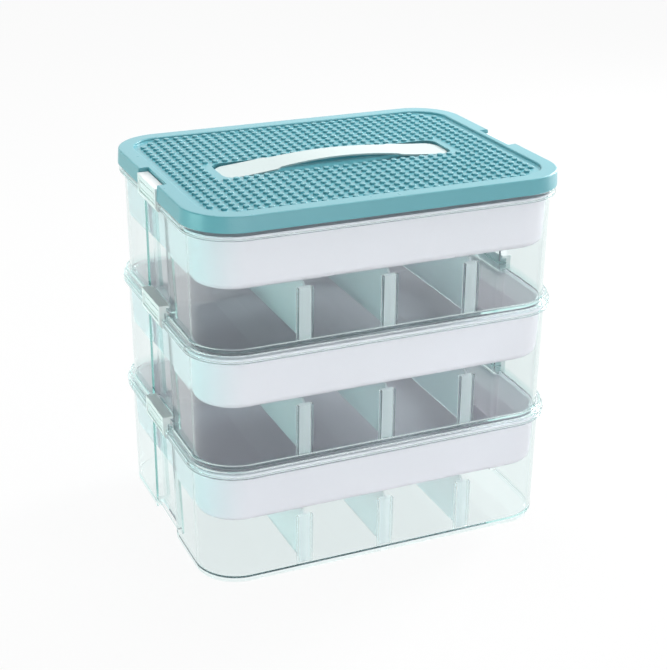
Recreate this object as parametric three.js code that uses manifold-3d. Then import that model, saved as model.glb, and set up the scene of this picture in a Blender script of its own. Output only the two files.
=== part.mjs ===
// Stacking storage case: a lid with a recessed plate and a carrying strap over three clear tubs.
// Each tub holds an open tray above three lift-out dividers, and two side latches hold what stands on it.
import * as THREE from "three";
import { mergeVertices } from "three/addons/utils/BufferGeometryUtils.js";
import Module from "manifold-3d";

const wasm = await Module();
wasm.setup();

// Driving dimensions, in millimetres: X along the case, Y from front to back, Z up from the base.
const CASE_LENGTH = 297;
const CASE_WIDTH = 225;
const CASE_CORNER = 38.5;
const TIERS = 3;
const TUB_HEIGHT = 99;
const NEST_DEPTH = 7.5;
const LID_HEIGHT = 12;
const WALL = 2.2;

// Play between the pieces: at rest one above the other, and side by side.
const REST_GAP = 0.3;
const SIDE_GAP = 0.6;

// Tub: the rim band is a lip with a thinner neck above it, and the wall drafts in below it.
const LIP_HEIGHT = 6.2;
const NECK_HEIGHT = 4.3;
const NECK_INSET = 1.9;
const BAND_THICKNESS = 3.7;
const BAND_CHAMFER = 0.5;
const WALL_TOP_INSET = 4;
const WALL_BASE_INSET = 5.6;
const BASE_EDGE = 1.5;
const FLOOR_TOP = 4;
const FLOOR_COVE = 1.5;
const FOOT_RING_WIDTH = 3;
const FOOT_RING_HEIGHT = 2;

// Channel down each end of a tub: it is deeper and wider at the foot, so that the foot nests in the tub below.
const CHANNEL_TOP_DEPTH = 8.5;
const CHANNEL_BASE_DEPTH = 11.5;
const CHANNEL_TOP_HALF = 24;
const CHANNEL_BASE_HALF = 27;

// Catch ledge across the channel, and across the lid's notch.
const LEDGE_THICKNESS = 1.4;
const LEDGE_INSET = 6.1;
const LEDGE_ROOT = 0.4;

// Tray.
const TRAY_BELOW_RIM = 49.5;
const TRAY_WALL = 2;
const TRAY_FLANGE_THICKNESS = 2;
const TRAY_FLANGE_GAP = 0.5;
const TRAY_DRAFT = 1.8;
const TRAY_EDGE = 6;
const TRAY_NOTCH_X = 48.5;
const TRAY_NOTCH_WIDTH = 11;
const TRAY_NOTCH_HEIGHT = 2.5;
const TRAY_NOTCH_DEPTH = 2.8;

// Dividers, and the pairs of ribs that hold their edges.
const DIVIDERS = 3;
const DIVIDER_PITCH = 66.7;
const DIVIDER_WEB = 1.8;
const DIVIDER_EDGE_WIDTH = 8.8;
const DIVIDER_EDGE_THICKNESS = 1.6;
const DIVIDER_TOP_CHAMFER = 4;
const DIVIDER_UNDER_TRAY = 0.8;
const RIB_WIDTH = 1.2;
const RIB_BITE = 1.5;
const RIB_BELOW_DIVIDER = 3;

// Lid.
const SKIRT_FLARE = 0.75;
const SKIRT_THICKNESS = 2;
const LID_EDGE = 1.2;
const RIM_WIDTH = 12;
const RIM_UNDER_WIDTH = 6;
const PLATE_DROP = 3;
const PLATE_THICKNESS = 2.5;
const NOTCH_DEPTH = 7.6;
const NOTCH_HALF = 23.2;
const NOTCH_WALL = 2.5;
const TROUGH_DEPTH = 13;
const TROUGH_WALL = 2;

// Studs on the lid's plate, on a square grid that keeps clear of the plate's edge and of the trough.
const STUD_PITCH = 8;
const STUD_RADIUS = 2.4;
const STUD_HEIGHT = 1.7;
const STUD_ROOT = 0.5;
const STUD_TO_EDGE = 1.9;
const STUD_TO_TROUGH = 1.2;

// Carrying strap, and the legs that slide in slots in the trough's floor.
const STRAP_LENGTH = 186;
const STRAP_THICKNESS = 2.5;
const STRAP_CROWN = 0.8;
const STRAP_DROP = 6.8;
const GRIP_HALF = 12;
const GRIP_REACH = 48;
const PADDLE_HALF = 16.5;
const PADDLE_SHOULDER = 4;
const PADDLE_CORNER = 8;
const STRAP_END_GAP = 1.5;
const STRAP_SIDE_GAP = 3.5;
const LEG_FROM_END = 9;
const LEG_THICKNESS = 3;
const LEG_WIDTH = 20;
const FOOT_OVERHANG = 2.5;
const FOOT_THICKNESS = 2;
const STRAP_TRAVEL = 10;

// Latch: it turns on stubs in the lip beside the channel, and its hook reaches in over a ledge.
const LATCH_HALF = 22.3;
const LATCH_PROUD = 1.5;
const LATCH_THICKNESS = 5.8;
const LATCH_HEIGHT = 17.7;
const LATCH_ABOVE_RIM = 5;
const LATCH_CHAMFER = 0.8;
const LATCH_TAPER = 3;
const HOOK_REACH = 2.8;
const HOOK_THICKNESS = 1.9;
const PANEL_MARGIN = 3;
const PANEL_DEPTH = 0.8;
const STUB_RADIUS = 0.9;
const STUB_LENGTH = 3.7;
const STUB_PLAY = 0.3;

// Facets, and how far a cutting body runs past what it cuts.
const CORNER_STEPS = 4;
const STUB_STEPS = 8;
const STUD_SIDES = 3;
const STRAP_STEPS = 24;
const PAST = 5;
const LEAST_CORNER = 0.5;
const WELD = 0.0001;

// Heights that follow from the dimensions above. A tub's own heights count from its base.
const TIER_PITCH = TUB_HEIGHT - NEST_DEPTH;
const LIP_TOP = TUB_HEIGHT - NECK_HEIGHT;
const BAND_BOTTOM = LIP_TOP - LIP_HEIGHT;
const TRAY_TOP = TIER_PITCH - REST_GAP;
const SHELF = TRAY_TOP - TRAY_FLANGE_THICKNESS - REST_GAP;
const TRAY_BOTTOM = TUB_HEIGHT - TRAY_BELOW_RIM;
const LEDGE_BOTTOM = NEST_DEPTH + REST_GAP;
const TOP_RIM = TIERS * TIER_PITCH + NEST_DEPTH;
const SKIRT_BOTTOM = TOP_RIM - NECK_HEIGHT + REST_GAP;
const LID_TOP = SKIRT_BOTTOM + LID_HEIGHT;
const PLATE_TOP = LID_TOP - PLATE_DROP;
const TROUGH_FLOOR = LID_TOP - TROUGH_DEPTH;
const END = CASE_LENGTH / 2;
const FRONT = CASE_WIDTH / 2;
const TROUGH_LENGTH = STRAP_LENGTH + 2 * STRAP_END_GAP;
const TROUGH_WIDTH = 2 * (PADDLE_HALF + STRAP_SIDE_GAP);
const TROUGH_CORNER = PADDLE_CORNER + STRAP_END_GAP;
const LEG_X = STRAP_LENGTH / 2 - LEG_FROM_END;
const PIVOT_X = END - BAND_THICKNESS / 2;
const PIVOT_Z = LIP_TOP - LIP_HEIGHT / 2;
const DIVIDER_REACH = FRONT - WALL_BASE_INSET - WALL - SIDE_GAP;
const DIVIDER_TOP = TRAY_BOTTOM - DIVIDER_UNDER_TRAY;
const DIVIDER_BOTTOM = FLOOR_TOP + REST_GAP;

const COLOURS = {
  lid: 0x8fccd4,
  white: 0xf4f5f4,
  tray: 0xdfe1ea,
  clear: 0xcfeeea,
  divider: 0xe6f3f0,
};

const part = new THREE.Group();

// A geometry as a solid: only its corner points are kept, welded where they meet.
function solid(geometry) {
  const loose = geometry.index ? geometry.toNonIndexed() : geometry;
  const points = new THREE.BufferGeometry().setAttribute("position", loose.getAttribute("position"));
  const welded = mergeVertices(points, WELD);
  const vertProperties = welded.attributes.position.array;
  const triVerts = new Uint32Array(welded.index.array);
  return new wasm.Manifold(new wasm.Mesh({ numProp: 3, vertProperties, triVerts }));
}

function addNode(name, body, colour, opacity = 1) {
  const mesh = body.getMesh();
  const geometry = new THREE.BufferGeometry();
  geometry.setAttribute("position", new THREE.BufferAttribute(new Float32Array(mesh.vertProperties), 3));
  geometry.setIndex(new THREE.BufferAttribute(new Uint32Array(mesh.triVerts), 1));
  const look = { color: colour, opacity, transparent: opacity < 1, flatShading: true };
  const node = new THREE.Mesh(geometry, new THREE.MeshStandardMaterial(look));
  node.name = name;
  part.add(node);
}

// A rounded rectangle's points, counter-clockwise seen from above.
function outline(length, width, corner) {
  const radius = Math.max(corner, LEAST_CORNER);
  const points = [];
  [[1, 1], [-1, 1], [-1, -1], [1, -1]].forEach(([sideX, sideY], quarter) => {
    for (let step = 0; step <= CORNER_STEPS; step += 1) {
      const angle = ((quarter + step / CORNER_STEPS) * Math.PI) / 2;
      points.push([
        sideX * (length / 2 - radius) + radius * Math.cos(angle),
        sideY * (width / 2 - radius) + radius * Math.sin(angle),
      ]);
    }
  });
  return points;
}

// A closed body through level rings of a rounded rectangle, from the lowest up. Each ring is [inset, z].
function loft(rings, length = CASE_LENGTH, width = CASE_WIDTH, corner = CASE_CORNER) {
  const points = [];
  const faces = [];
  rings.forEach(([inset, z]) => {
    const ring = outline(length - 2 * inset, width - 2 * inset, corner - inset);
    ring.forEach(([x, y]) => points.push(x, y, z));
  });
  const count = points.length / 3 / rings.length;
  for (let ring = 0; ring + 1 < rings.length; ring += 1) {
    for (let at = 0; at < count; at += 1) {
      const low = ring * count + at;
      const lowNext = ring * count + ((at + 1) % count);
      faces.push(low, lowNext, lowNext + count, low, lowNext + count, low + count);
    }
  }
  const top = (rings.length - 1) * count;
  for (let at = 1; at + 1 < count; at += 1) {
    faces.push(0, at + 1, at);
    faces.push(top, top + at, top + at + 1);
  }
  const geometry = new THREE.BufferGeometry();
  geometry.setAttribute("position", new THREE.Float32BufferAttribute(points, 3));
  geometry.setIndex(faces);
  return geometry;
}

// A block from a lower to an upper rectangle. Each is [x from, x to, half-width in Y, z].
function block(lower, upper) {
  const points = [];
  [lower, upper].forEach(([from, to, half, z]) => {
    points.push(from, -half, z, to, -half, z, to, half, z, from, half, z);
  });
  const geometry = new THREE.BufferGeometry();
  geometry.setAttribute("position", new THREE.Float32BufferAttribute(points, 3));
  geometry.setIndex([
    0, 2, 1, 0, 3, 2, 4, 5, 6, 4, 6, 7, 0, 1, 5, 0, 5, 4,
    1, 2, 6, 1, 6, 5, 2, 3, 7, 2, 7, 6, 3, 0, 4, 3, 4, 7,
  ]);
  return geometry;
}

function box(fromX, toX, half, low, high) {
  return block([fromX, toX, half, low], [fromX, toX, half, high]);
}

// A prism over a plan of [x, y] points.
function prism(plan, low, high) {
  const shape = new THREE.Shape(plan.map(([x, y]) => new THREE.Vector2(x, y)));
  return new THREE.ExtrudeGeometry(shape, { depth: high - low, bevelEnabled: false }).translate(0, 0, low);
}

// A plate with its profile in X and Z, centred on Y.
function plate(profile, width) {
  return prism(profile, -width / 2, width / 2).rotateX(Math.PI / 2);
}

// The same body at both ends of the case: every end feature is even in Y, so a half turn mirrors it.
function atBothEnds(geometry) {
  return solid(geometry).add(solid(geometry.clone().rotateZ(Math.PI)));
}

function channelAt(z, grow) {
  const share = z / TUB_HEIGHT;
  const depth = CHANNEL_BASE_DEPTH + (CHANNEL_TOP_DEPTH - CHANNEL_BASE_DEPTH) * share;
  const half = CHANNEL_BASE_HALF + (CHANNEL_TOP_HALF - CHANNEL_BASE_HALF) * share;
  return [END - depth - grow, END + PAST, half + grow, z];
}

// The end channels as bodies, each side of them moved out by grow.
function channels(grow, low, high) {
  return atBothEnds(block(channelAt(low, grow), channelAt(high, grow)));
}

function ledges(low, root, half) {
  return atBothEnds(box(root - LEDGE_ROOT, END - LEDGE_INSET, half, low, low + LEDGE_THICKNESS));
}

function pivotRod(radius, length) {
  const rod = new THREE.CylinderGeometry(radius, radius, length, STUB_STEPS);
  return rod.translate(PIVOT_X, 0, PIVOT_Z);
}

function dividerX(index) {
  return (index - (DIVIDERS - 1) / 2) * DIVIDER_PITCH;
}

// The pairs of ribs on the front and back walls, one on each side of a divider's edge.
function guideRibs() {
  const outer = FRONT - WALL_BASE_INSET - WALL / 2;
  const inner = DIVIDER_REACH - RIB_BITE;
  const low = FLOOR_TOP - RIB_WIDTH;
  const high = DIVIDER_TOP - RIB_BELOW_DIVIDER;
  const ribs = [];
  for (let index = 0; index < DIVIDERS; index += 1) {
    [-1, 1].forEach((side) => {
      const middle = dividerX(index) + side * (DIVIDER_EDGE_WIDTH / 2 + SIDE_GAP + RIB_WIDTH / 2);
      const pair = solid(box(middle - RIB_WIDTH / 2, middle + RIB_WIDTH / 2, outer, low, high));
      const gap = solid(box(middle - RIB_WIDTH, middle + RIB_WIDTH, inner, low - PAST, high + PAST));
      ribs.push(pair.subtract(gap));
    });
  }
  return ribs.reduce((all, rib) => all.add(rib));
}

function tubBody() {
  const outside = loft([
    [WALL_BASE_INSET + BASE_EDGE, 0],
    [WALL_BASE_INSET, BASE_EDGE],
    [WALL_TOP_INSET, BAND_BOTTOM],
    [BAND_CHAMFER, BAND_BOTTOM],
    [0, BAND_BOTTOM + BAND_CHAMFER],
    [0, LIP_TOP - BAND_CHAMFER],
    [BAND_CHAMFER, LIP_TOP],
    [NECK_INSET, LIP_TOP],
    [NECK_INSET, TUB_HEIGHT],
  ]);
  const cavity = loft([
    [WALL_BASE_INSET + WALL + FLOOR_COVE, FLOOR_TOP],
    [WALL_BASE_INSET + WALL, FLOOR_TOP + FLOOR_COVE],
    [WALL_TOP_INSET + WALL, SHELF],
    [BAND_THICKNESS, SHELF],
    [BAND_THICKNESS, TUB_HEIGHT + PAST],
  ]);
  const footInset = WALL_BASE_INSET + BASE_EDGE + FOOT_RING_WIDTH;
  const underFloor = loft([[footInset, -PAST], [footInset, FOOT_RING_HEIGHT]]);
  const hollow = solid(cavity).subtract(channels(WALL, 0, TUB_HEIGHT + 2 * PAST));
  const under = solid(underFloor).subtract(channels(FOOT_RING_WIDTH, -2 * PAST, TUB_HEIGHT));
  const bores = atBothEnds(pivotRod(STUB_RADIUS + STUB_PLAY, 2 * (LATCH_HALF + STUB_LENGTH + SIDE_GAP)));
  const channelFloor = channelAt(LEDGE_BOTTOM, 0)[0];
  return solid(outside)
    .subtract(channels(0, -PAST, TUB_HEIGHT + PAST))
    .subtract(hollow)
    .subtract(under)
    .add(ledges(LEDGE_BOTTOM, channelFloor, CHANNEL_BASE_HALF))
    .add(guideRibs())
    .subtract(bores);
}

// Small notches in the tray's lower front and back edges, which are at this Y.
function trayNotches(edge) {
  const low = TRAY_BOTTOM - PAST;
  const high = TRAY_BOTTOM + TRAY_NOTCH_HEIGHT;
  const half = TRAY_NOTCH_WIDTH / 2;
  const across = atBothEnds(box(TRAY_NOTCH_X - half, TRAY_NOTCH_X + half, edge + PAST, low, high));
  const between = box(-END, END, edge - TRAY_NOTCH_DEPTH, low - PAST, high + PAST);
  return across.subtract(solid(between));
}

function trayBody() {
  const flange = BAND_THICKNESS + TRAY_FLANGE_GAP;
  const top = WALL_TOP_INSET + WALL + SIDE_GAP;
  const foot = top + TRAY_DRAFT;
  const outside = loft([
    [foot + TRAY_EDGE, TRAY_BOTTOM],
    [foot + TRAY_EDGE / 4, TRAY_BOTTOM + TRAY_EDGE / 4],
    [foot, TRAY_BOTTOM + TRAY_EDGE],
    [top, TRAY_TOP - TRAY_FLANGE_THICKNESS],
    [flange, TRAY_TOP - TRAY_FLANGE_THICKNESS],
    [flange, TRAY_TOP],
  ]);
  const inside = loft([
    [foot + TRAY_EDGE, TRAY_BOTTOM + TRAY_WALL],
    [foot + TRAY_EDGE / 4 + TRAY_WALL, TRAY_BOTTOM + TRAY_EDGE / 4 + TRAY_WALL],
    [foot + TRAY_WALL, TRAY_BOTTOM + TRAY_EDGE + TRAY_WALL],
    [top + TRAY_WALL, TRAY_TOP],
    [top + TRAY_WALL, TRAY_TOP + PAST],
  ]);
  const recess = channels(WALL + SIDE_GAP, 0, TUB_HEIGHT + PAST).add(trayNotches(FRONT - foot));
  const keep = channels(WALL + SIDE_GAP + TRAY_WALL, 0, TUB_HEIGHT + PAST);
  return solid(outside).subtract(recess).subtract(solid(inside).subtract(keep));
}

function dividerBody() {
  const web = box(-DIVIDER_WEB / 2, DIVIDER_WEB / 2, DIVIDER_REACH, DIVIDER_BOTTOM, DIVIDER_TOP);
  const wide = DIVIDER_EDGE_WIDTH / 2;
  const edges = solid(box(-wide, wide, DIVIDER_REACH, DIVIDER_BOTTOM, DIVIDER_TOP));
  const between = box(
    -wide - PAST,
    wide + PAST,
    DIVIDER_REACH - DIVIDER_EDGE_THICKNESS,
    DIVIDER_BOTTOM - PAST,
    DIVIDER_TOP + PAST,
  );
  const cove = FLOOR_COVE + REST_GAP;
  const side = plate(
    [
      [-DIVIDER_REACH + cove, DIVIDER_BOTTOM],
      [DIVIDER_REACH - cove, DIVIDER_BOTTOM],
      [DIVIDER_REACH, DIVIDER_BOTTOM + cove],
      [DIVIDER_REACH, DIVIDER_TOP - DIVIDER_TOP_CHAMFER],
      [DIVIDER_REACH - DIVIDER_TOP_CHAMFER, DIVIDER_TOP],
      [-DIVIDER_REACH + DIVIDER_TOP_CHAMFER, DIVIDER_TOP],
      [-DIVIDER_REACH, DIVIDER_TOP - DIVIDER_TOP_CHAMFER],
      [-DIVIDER_REACH, DIVIDER_BOTTOM + cove],
    ],
    2 * DIVIDER_EDGE_WIDTH,
  ).rotateZ(Math.PI / 2);
  return edges.subtract(solid(between)).add(solid(web)).intersect(solid(side));
}

// Whether a point lies this far inside a rounded rectangle's edge.
function isInside(x, y, length, width, corner, margin) {
  const overX = Math.max(Math.abs(x) - (length / 2 - corner), 0);
  const overY = Math.max(Math.abs(y) - (width / 2 - corner), 0);
  return Math.hypot(overX, overY) <= corner - margin;
}

// A stud with few sides and a round one's girth, on the plate's centre.
function stud() {
  const corner = (Math.PI * STUD_RADIUS) / (STUD_SIDES * Math.sin(Math.PI / STUD_SIDES));
  const plan = [];
  for (let side = 0; side < STUD_SIDES; side += 1) {
    const angle = ((side + 1 / 2) * 2 * Math.PI) / STUD_SIDES;
    plan.push([corner * Math.sin(angle), -corner * Math.cos(angle)]);
  }
  return solid(prism(plan, PLATE_TOP - STUD_ROOT, PLATE_TOP + STUD_HEIGHT));
}

function studs() {
  const length = CASE_LENGTH - 2 * RIM_WIDTH;
  const width = CASE_WIDTH - 2 * RIM_WIDTH;
  const edge = STUD_RADIUS + STUD_TO_EDGE;
  const reachX = TROUGH_LENGTH / 2 + STUD_RADIUS + STUD_TO_TROUGH;
  const reachY = TROUGH_WIDTH / 2 + STUD_RADIUS + STUD_TO_TROUGH;
  const columns = Math.floor((length / 2 - edge) / STUD_PITCH);
  const rows = Math.floor((width / 2 - edge) / STUD_PITCH);
  const one = stud();
  const placed = [];
  for (let column = -columns; column <= columns; column += 1) {
    for (let row = -rows; row <= rows; row += 1) {
      const x = column * STUD_PITCH;
      const y = row * STUD_PITCH;
      const onPlate = isInside(x, y, length, width, CASE_CORNER - RIM_WIDTH, edge);
      const atTrough = Math.abs(x) < reachX && Math.abs(y) < reachY;
      if (onPlate && !atTrough) placed.push(one.translate([x, y, 0]));
    }
  }
  return wasm.Manifold.compose(placed);
}

function lidBody() {
  const outside = loft([
    [-SKIRT_FLARE, SKIRT_BOTTOM],
    [0, LID_TOP - LID_EDGE],
    [LID_EDGE / 4, LID_TOP - LID_EDGE / 4],
    [LID_EDGE, LID_TOP],
  ]);
  const rest = TOP_RIM + REST_GAP;
  const skirtInset = SKIRT_THICKNESS - SKIRT_FLARE;
  const overNeck = loft([[skirtInset, SKIRT_BOTTOM - PAST], [skirtInset, rest]]);
  const underPlate = loft([
    [RIM_UNDER_WIDTH, rest - PAST],
    [RIM_UNDER_WIDTH, PLATE_TOP - PLATE_THICKNESS],
  ]);
  const recess = loft([[RIM_WIDTH, PLATE_TOP], [RIM_WIDTH, LID_TOP + PAST]]);
  const notchRoot = END - NOTCH_DEPTH;
  const notch = atBothEnds(box(notchRoot, END + PAST, NOTCH_HALF, SKIRT_BOTTOM - PAST, LID_TOP + PAST));
  const notchKeep = atBothEnds(
    box(notchRoot - NOTCH_WALL, END + PAST, NOTCH_HALF + NOTCH_WALL, rest, LID_TOP + PAST),
  );
  const troughShell = loft(
    [[-TROUGH_WALL, TROUGH_FLOOR - TROUGH_WALL], [-TROUGH_WALL, PLATE_TOP]],
    TROUGH_LENGTH,
    TROUGH_WIDTH,
    TROUGH_CORNER,
  );
  const troughHollow = loft(
    [[0, TROUGH_FLOOR], [0, LID_TOP + PAST]],
    TROUGH_LENGTH,
    TROUGH_WIDTH,
    TROUGH_CORNER,
  );
  const slots = atBothEnds(
    box(
      LEG_X - LEG_THICKNESS / 2 - REST_GAP,
      LEG_X + LEG_THICKNESS / 2 + REST_GAP,
      LEG_WIDTH / 2 + REST_GAP,
      TROUGH_FLOOR - PAST,
      TROUGH_FLOOR + PAST,
    ),
  );
  return solid(outside)
    .subtract(solid(overNeck))
    .subtract(solid(underPlate).subtract(notchKeep))
    .subtract(solid(recess))
    .subtract(notch)
    .add(ledges(rest, notchRoot, NOTCH_HALF + LEDGE_ROOT))
    .add(solid(troughShell))
    .add(studs())
    .subtract(solid(troughHollow))
    .subtract(slots);
}

// The strap's upper surface falls from its crown to its ends in one smooth wave.
function strapTop(x) {
  return LID_TOP + STRAP_CROWN - (STRAP_DROP * (1 - Math.cos((Math.PI * x) / (STRAP_LENGTH / 2)))) / 2;
}

function handleBody() {
  const upper = [];
  for (let step = 0; step <= STRAP_STEPS; step += 1) {
    const x = STRAP_LENGTH * (step / STRAP_STEPS - 1 / 2);
    upper.push([x, strapTop(x)]);
  }
  const lower = upper.map(([x, z]) => [x, z - STRAP_THICKNESS]).reverse();
  const side = plate([...lower, ...upper].reverse(), 2 * PADDLE_HALF + PAST);
  const low = TROUGH_FLOOR;
  const high = LID_TOP + PAST;
  const paddles = loft([[0, low], [0, high]], STRAP_LENGTH, 2 * PADDLE_HALF, PADDLE_CORNER);
  const waist = solid(
    box(-GRIP_REACH - PADDLE_SHOULDER, GRIP_REACH + PADDLE_SHOULDER, 2 * PADDLE_HALF, low - PAST, high + PAST),
  ).subtract(grip(low - 2 * PAST, high + 2 * PAST));
  const strap = solid(paddles).subtract(waist).intersect(solid(side));
  const legTop = strapTop(LEG_X) - STRAP_THICKNESS / 2;
  const footTop = TROUGH_FLOOR - TROUGH_WALL - STRAP_TRAVEL;
  const legs = atBothEnds(
    box(LEG_X - LEG_THICKNESS / 2, LEG_X + LEG_THICKNESS / 2, LEG_WIDTH / 2, footTop - FOOT_THICKNESS, legTop),
  );
  const feet = atBothEnds(
    box(
      LEG_X - LEG_THICKNESS / 2 - FOOT_OVERHANG,
      LEG_X + LEG_THICKNESS / 2 + FOOT_OVERHANG,
      LEG_WIDTH / 2,
      footTop - FOOT_THICKNESS,
      footTop,
    ),
  );
  return strap.add(legs).add(feet);
}

// The strap's narrow middle in plan, with a slanted shoulder to each paddle.
function grip(low, high) {
  const shoulder = GRIP_REACH + PADDLE_SHOULDER;
  const plan = [
    [-shoulder, -PADDLE_HALF],
    [-GRIP_REACH, -GRIP_HALF],
    [GRIP_REACH, -GRIP_HALF],
    [shoulder, -PADDLE_HALF],
    [shoulder, PADDLE_HALF],
    [GRIP_REACH, GRIP_HALF],
    [-GRIP_REACH, GRIP_HALF],
    [-shoulder, PADDLE_HALF],
  ];
  return solid(prism(plan, low, high));
}

function latchBody() {
  const outer = END + LATCH_PROUD;
  const inner = outer - LATCH_THICKNESS;
  const tip = inner - HOOK_REACH;
  const top = TUB_HEIGHT + LATCH_ABOVE_RIM;
  const low = top - LATCH_HEIGHT;
  const profile = [
    [inner + LATCH_CHAMFER, low],
    [outer - LATCH_CHAMFER - LATCH_CHAMFER, low],
    [outer, low + LATCH_TAPER],
    [outer, top - LATCH_CHAMFER],
    [outer - LATCH_CHAMFER, top],
    [tip + LATCH_CHAMFER, top],
    [tip, top - LATCH_CHAMFER],
    [tip, top - HOOK_THICKNESS],
    [inner, top - HOOK_THICKNESS],
    [inner, low + LATCH_CHAMFER],
  ];
  const panel = box(
    outer - PANEL_DEPTH,
    outer + PAST,
    LATCH_HALF - PANEL_MARGIN,
    low + LATCH_TAPER + PANEL_MARGIN / 2,
    top - PANEL_MARGIN,
  );
  const stubs = pivotRod(STUB_RADIUS, 2 * (LATCH_HALF + STUB_LENGTH));
  return solid(plate(profile, 2 * LATCH_HALF)).subtract(solid(panel)).add(solid(stubs));
}

addNode("lid", lidBody(), COLOURS.lid);
addNode("handle", handleBody(), COLOURS.white);

const tub = tubBody();
const tray = trayBody();
const divider = dividerBody();
const latch = latchBody();
for (let tier = 1; tier <= TIERS; tier += 1) {
  const base = (TIERS - tier) * TIER_PITCH;
  addNode("tub_" + tier, tub.translate([0, 0, base]), COLOURS.clear, 0.4);
  addNode("tray_" + tier, tray.translate([0, 0, base]), COLOURS.tray);
  for (let index = 0; index < DIVIDERS; index += 1) {
    const place = [dividerX(index), 0, base];
    addNode("divider_" + tier + "_" + (index + 1), divider.translate(place), COLOURS.divider, 0.7);
  }
  addNode("latch_right_" + tier, latch.translate([0, 0, base]), COLOURS.white);
  addNode("latch_left_" + tier, latch.rotate([0, 0, 180]).translate([0, 0, base]), COLOURS.white);
}

export default part;
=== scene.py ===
"""A stacking storage case: a studded lid with a carrying strap over three clear tubs, on a pale floor."""

import math

import bmesh
import bpy
import mathutils
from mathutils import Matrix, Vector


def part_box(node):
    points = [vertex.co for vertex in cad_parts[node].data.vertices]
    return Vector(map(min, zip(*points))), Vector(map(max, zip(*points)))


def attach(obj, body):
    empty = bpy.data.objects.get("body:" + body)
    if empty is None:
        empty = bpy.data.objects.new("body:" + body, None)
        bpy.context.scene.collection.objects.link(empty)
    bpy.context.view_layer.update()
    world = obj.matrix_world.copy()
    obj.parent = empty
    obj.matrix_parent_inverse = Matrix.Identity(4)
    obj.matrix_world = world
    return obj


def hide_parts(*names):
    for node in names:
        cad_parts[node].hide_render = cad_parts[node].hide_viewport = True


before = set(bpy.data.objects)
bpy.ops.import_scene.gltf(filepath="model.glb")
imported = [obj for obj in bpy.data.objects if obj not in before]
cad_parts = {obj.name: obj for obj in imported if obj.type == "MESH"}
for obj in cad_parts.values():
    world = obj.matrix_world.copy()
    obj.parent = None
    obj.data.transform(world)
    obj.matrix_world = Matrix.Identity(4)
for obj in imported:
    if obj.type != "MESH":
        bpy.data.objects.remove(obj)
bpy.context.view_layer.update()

# Sizes are in metres, in the frame of the model: X along the case, Y from front to back, Z up.
MM = 0.001
TIERS = (1, 2, 3)
TUB_BASE = {tier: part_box(f"tub_{tier}")[0].z for tier in TIERS}
TUB_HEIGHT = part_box("tub_1")[1].z - TUB_BASE[1]
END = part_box("tub_1")[1].x
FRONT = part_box("tub_1")[1].y
CORNER = 38.5 * MM
CORNER_SEGMENTS = 18
FILLET_STEPS = 4
REST_GAP = 0.3 * MM
SIDE_GAP = 0.6 * MM
PAST = 5 * MM

# Edges that turn by more than SHARP are rounded. A face counts as looking along an axis when its normal's
# part along it is over FACING.
SHARP = math.radians(38)
FACING = 0.9

# Tub: heights count from its base, and insets from the lip's outline.
WALL = 2.2 * MM
LIP_TOP = 94.7 * MM
LIP_BOTTOM = 88.5 * MM
NECK_INSET = 1.9 * MM
BAND = 3.7 * MM
WALL_TOP_INSET = 4 * MM
WALL_BASE_INSET = 5.6 * MM
FLOOR_TOP = 4 * MM
SHELF = 88.9 * MM
FOOT_RING = 3 * MM
FOOT_HEIGHT = 2 * MM
BASE_EDGE = 1.5 * MM
LIP_FILLET = 0.6 * MM
NECK_FILLET = 0.4 * MM
SHELF_FILLET = 0.5 * MM
BASE_FILLET = 1.6 * MM
FOOT_FILLET = 0.4 * MM
FLOOR_FILLET = 2 * MM

# End channels: depth and half-width at the rim and at the base, and the catch ledge across the foot.
CHANNEL_TOP = (8.5 * MM, 24 * MM)
CHANNEL_BASE = (11.5 * MM, 27 * MM)
CHANNEL_CORNER = 1.2 * MM
LEDGE = 1.4 * MM
LEDGE_BOTTOM = 7.8 * MM
LEDGE_INSET = 6.1 * MM
LEDGE_DEPTH = 6 * MM

# Tray.
TRAY_BOTTOM = 49.5 * MM
TRAY_TOP = 91.2 * MM
TRAY_FLANGE_INSET = 4.2 * MM
TRAY_FLANGE = 2 * MM
TRAY_INSET = 6.8 * MM
TRAY_DRAFT = 1.8 * MM
TRAY_EDGE = 6 * MM
TRAY_WALL = 2 * MM
TRAY_FILLET = 0.4 * MM
NOTCH_X = 48.5 * MM
NOTCH_HALF = 5.5 * MM
NOTCH_HEIGHT = 2.5 * MM
NOTCH_DEPTH = 2.8 * MM

# Dividers and the ribs that hold them.
DIVIDER_WEB = 1.8 * MM
DIVIDER_EDGE = 8.8 * MM
DIVIDER_STRIP = 1.6 * MM
DIVIDER_CHAMFER = 4 * MM
DIVIDER_COVE = 1.8 * MM
RIB = 1.2 * MM
RIB_INNER = 102.6 * MM
RIB_TOP = 45.7 * MM

# Lid.
SKIRT_FLARE = 0.75 * MM
SKIRT = 2 * MM
SKIRT_BOTTOM = 278 * MM
LID_TOP = 290 * MM
LID_REST = 282.3 * MM
RIM_WIDTH = 12 * MM
RIM_UNDER = 6 * MM
RIM_FILLET = 1.2 * MM
PLATE_TOP = 287.8 * MM
PLATE_UNDER = 284.5 * MM
PLATE_SLOPE = 0.2 * MM
PLATE_FILLET = 0.5 * MM
NOTCH_ROOT = 140.9 * MM
LID_NOTCH_HALF = 23.2 * MM
LID_NOTCH_WALL = 2.5 * MM
LID_NOTCH_BITE = 4 * MM
TROUGH_HALF = (94.5 * MM, 20 * MM)
TROUGH_CORNER = 9.5 * MM
TROUGH_FLOOR = 279 * MM
TROUGH_WALL = 2 * MM
TROUGH_FILLET = 1.2 * MM
SLOT_X = 84 * MM
STUD_PITCH = 8 * MM
STUD_RADIUS = 2.4 * MM
STUD_HEIGHT = 1.7 * MM
STUD_SIDES = 14
STUD_ROOT = 0.4 * MM
STUD_ROUND = 0.8 * MM
STUD_TO_EDGE = 1.9 * MM
STUD_TO_TROUGH = 1.2 * MM

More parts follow.
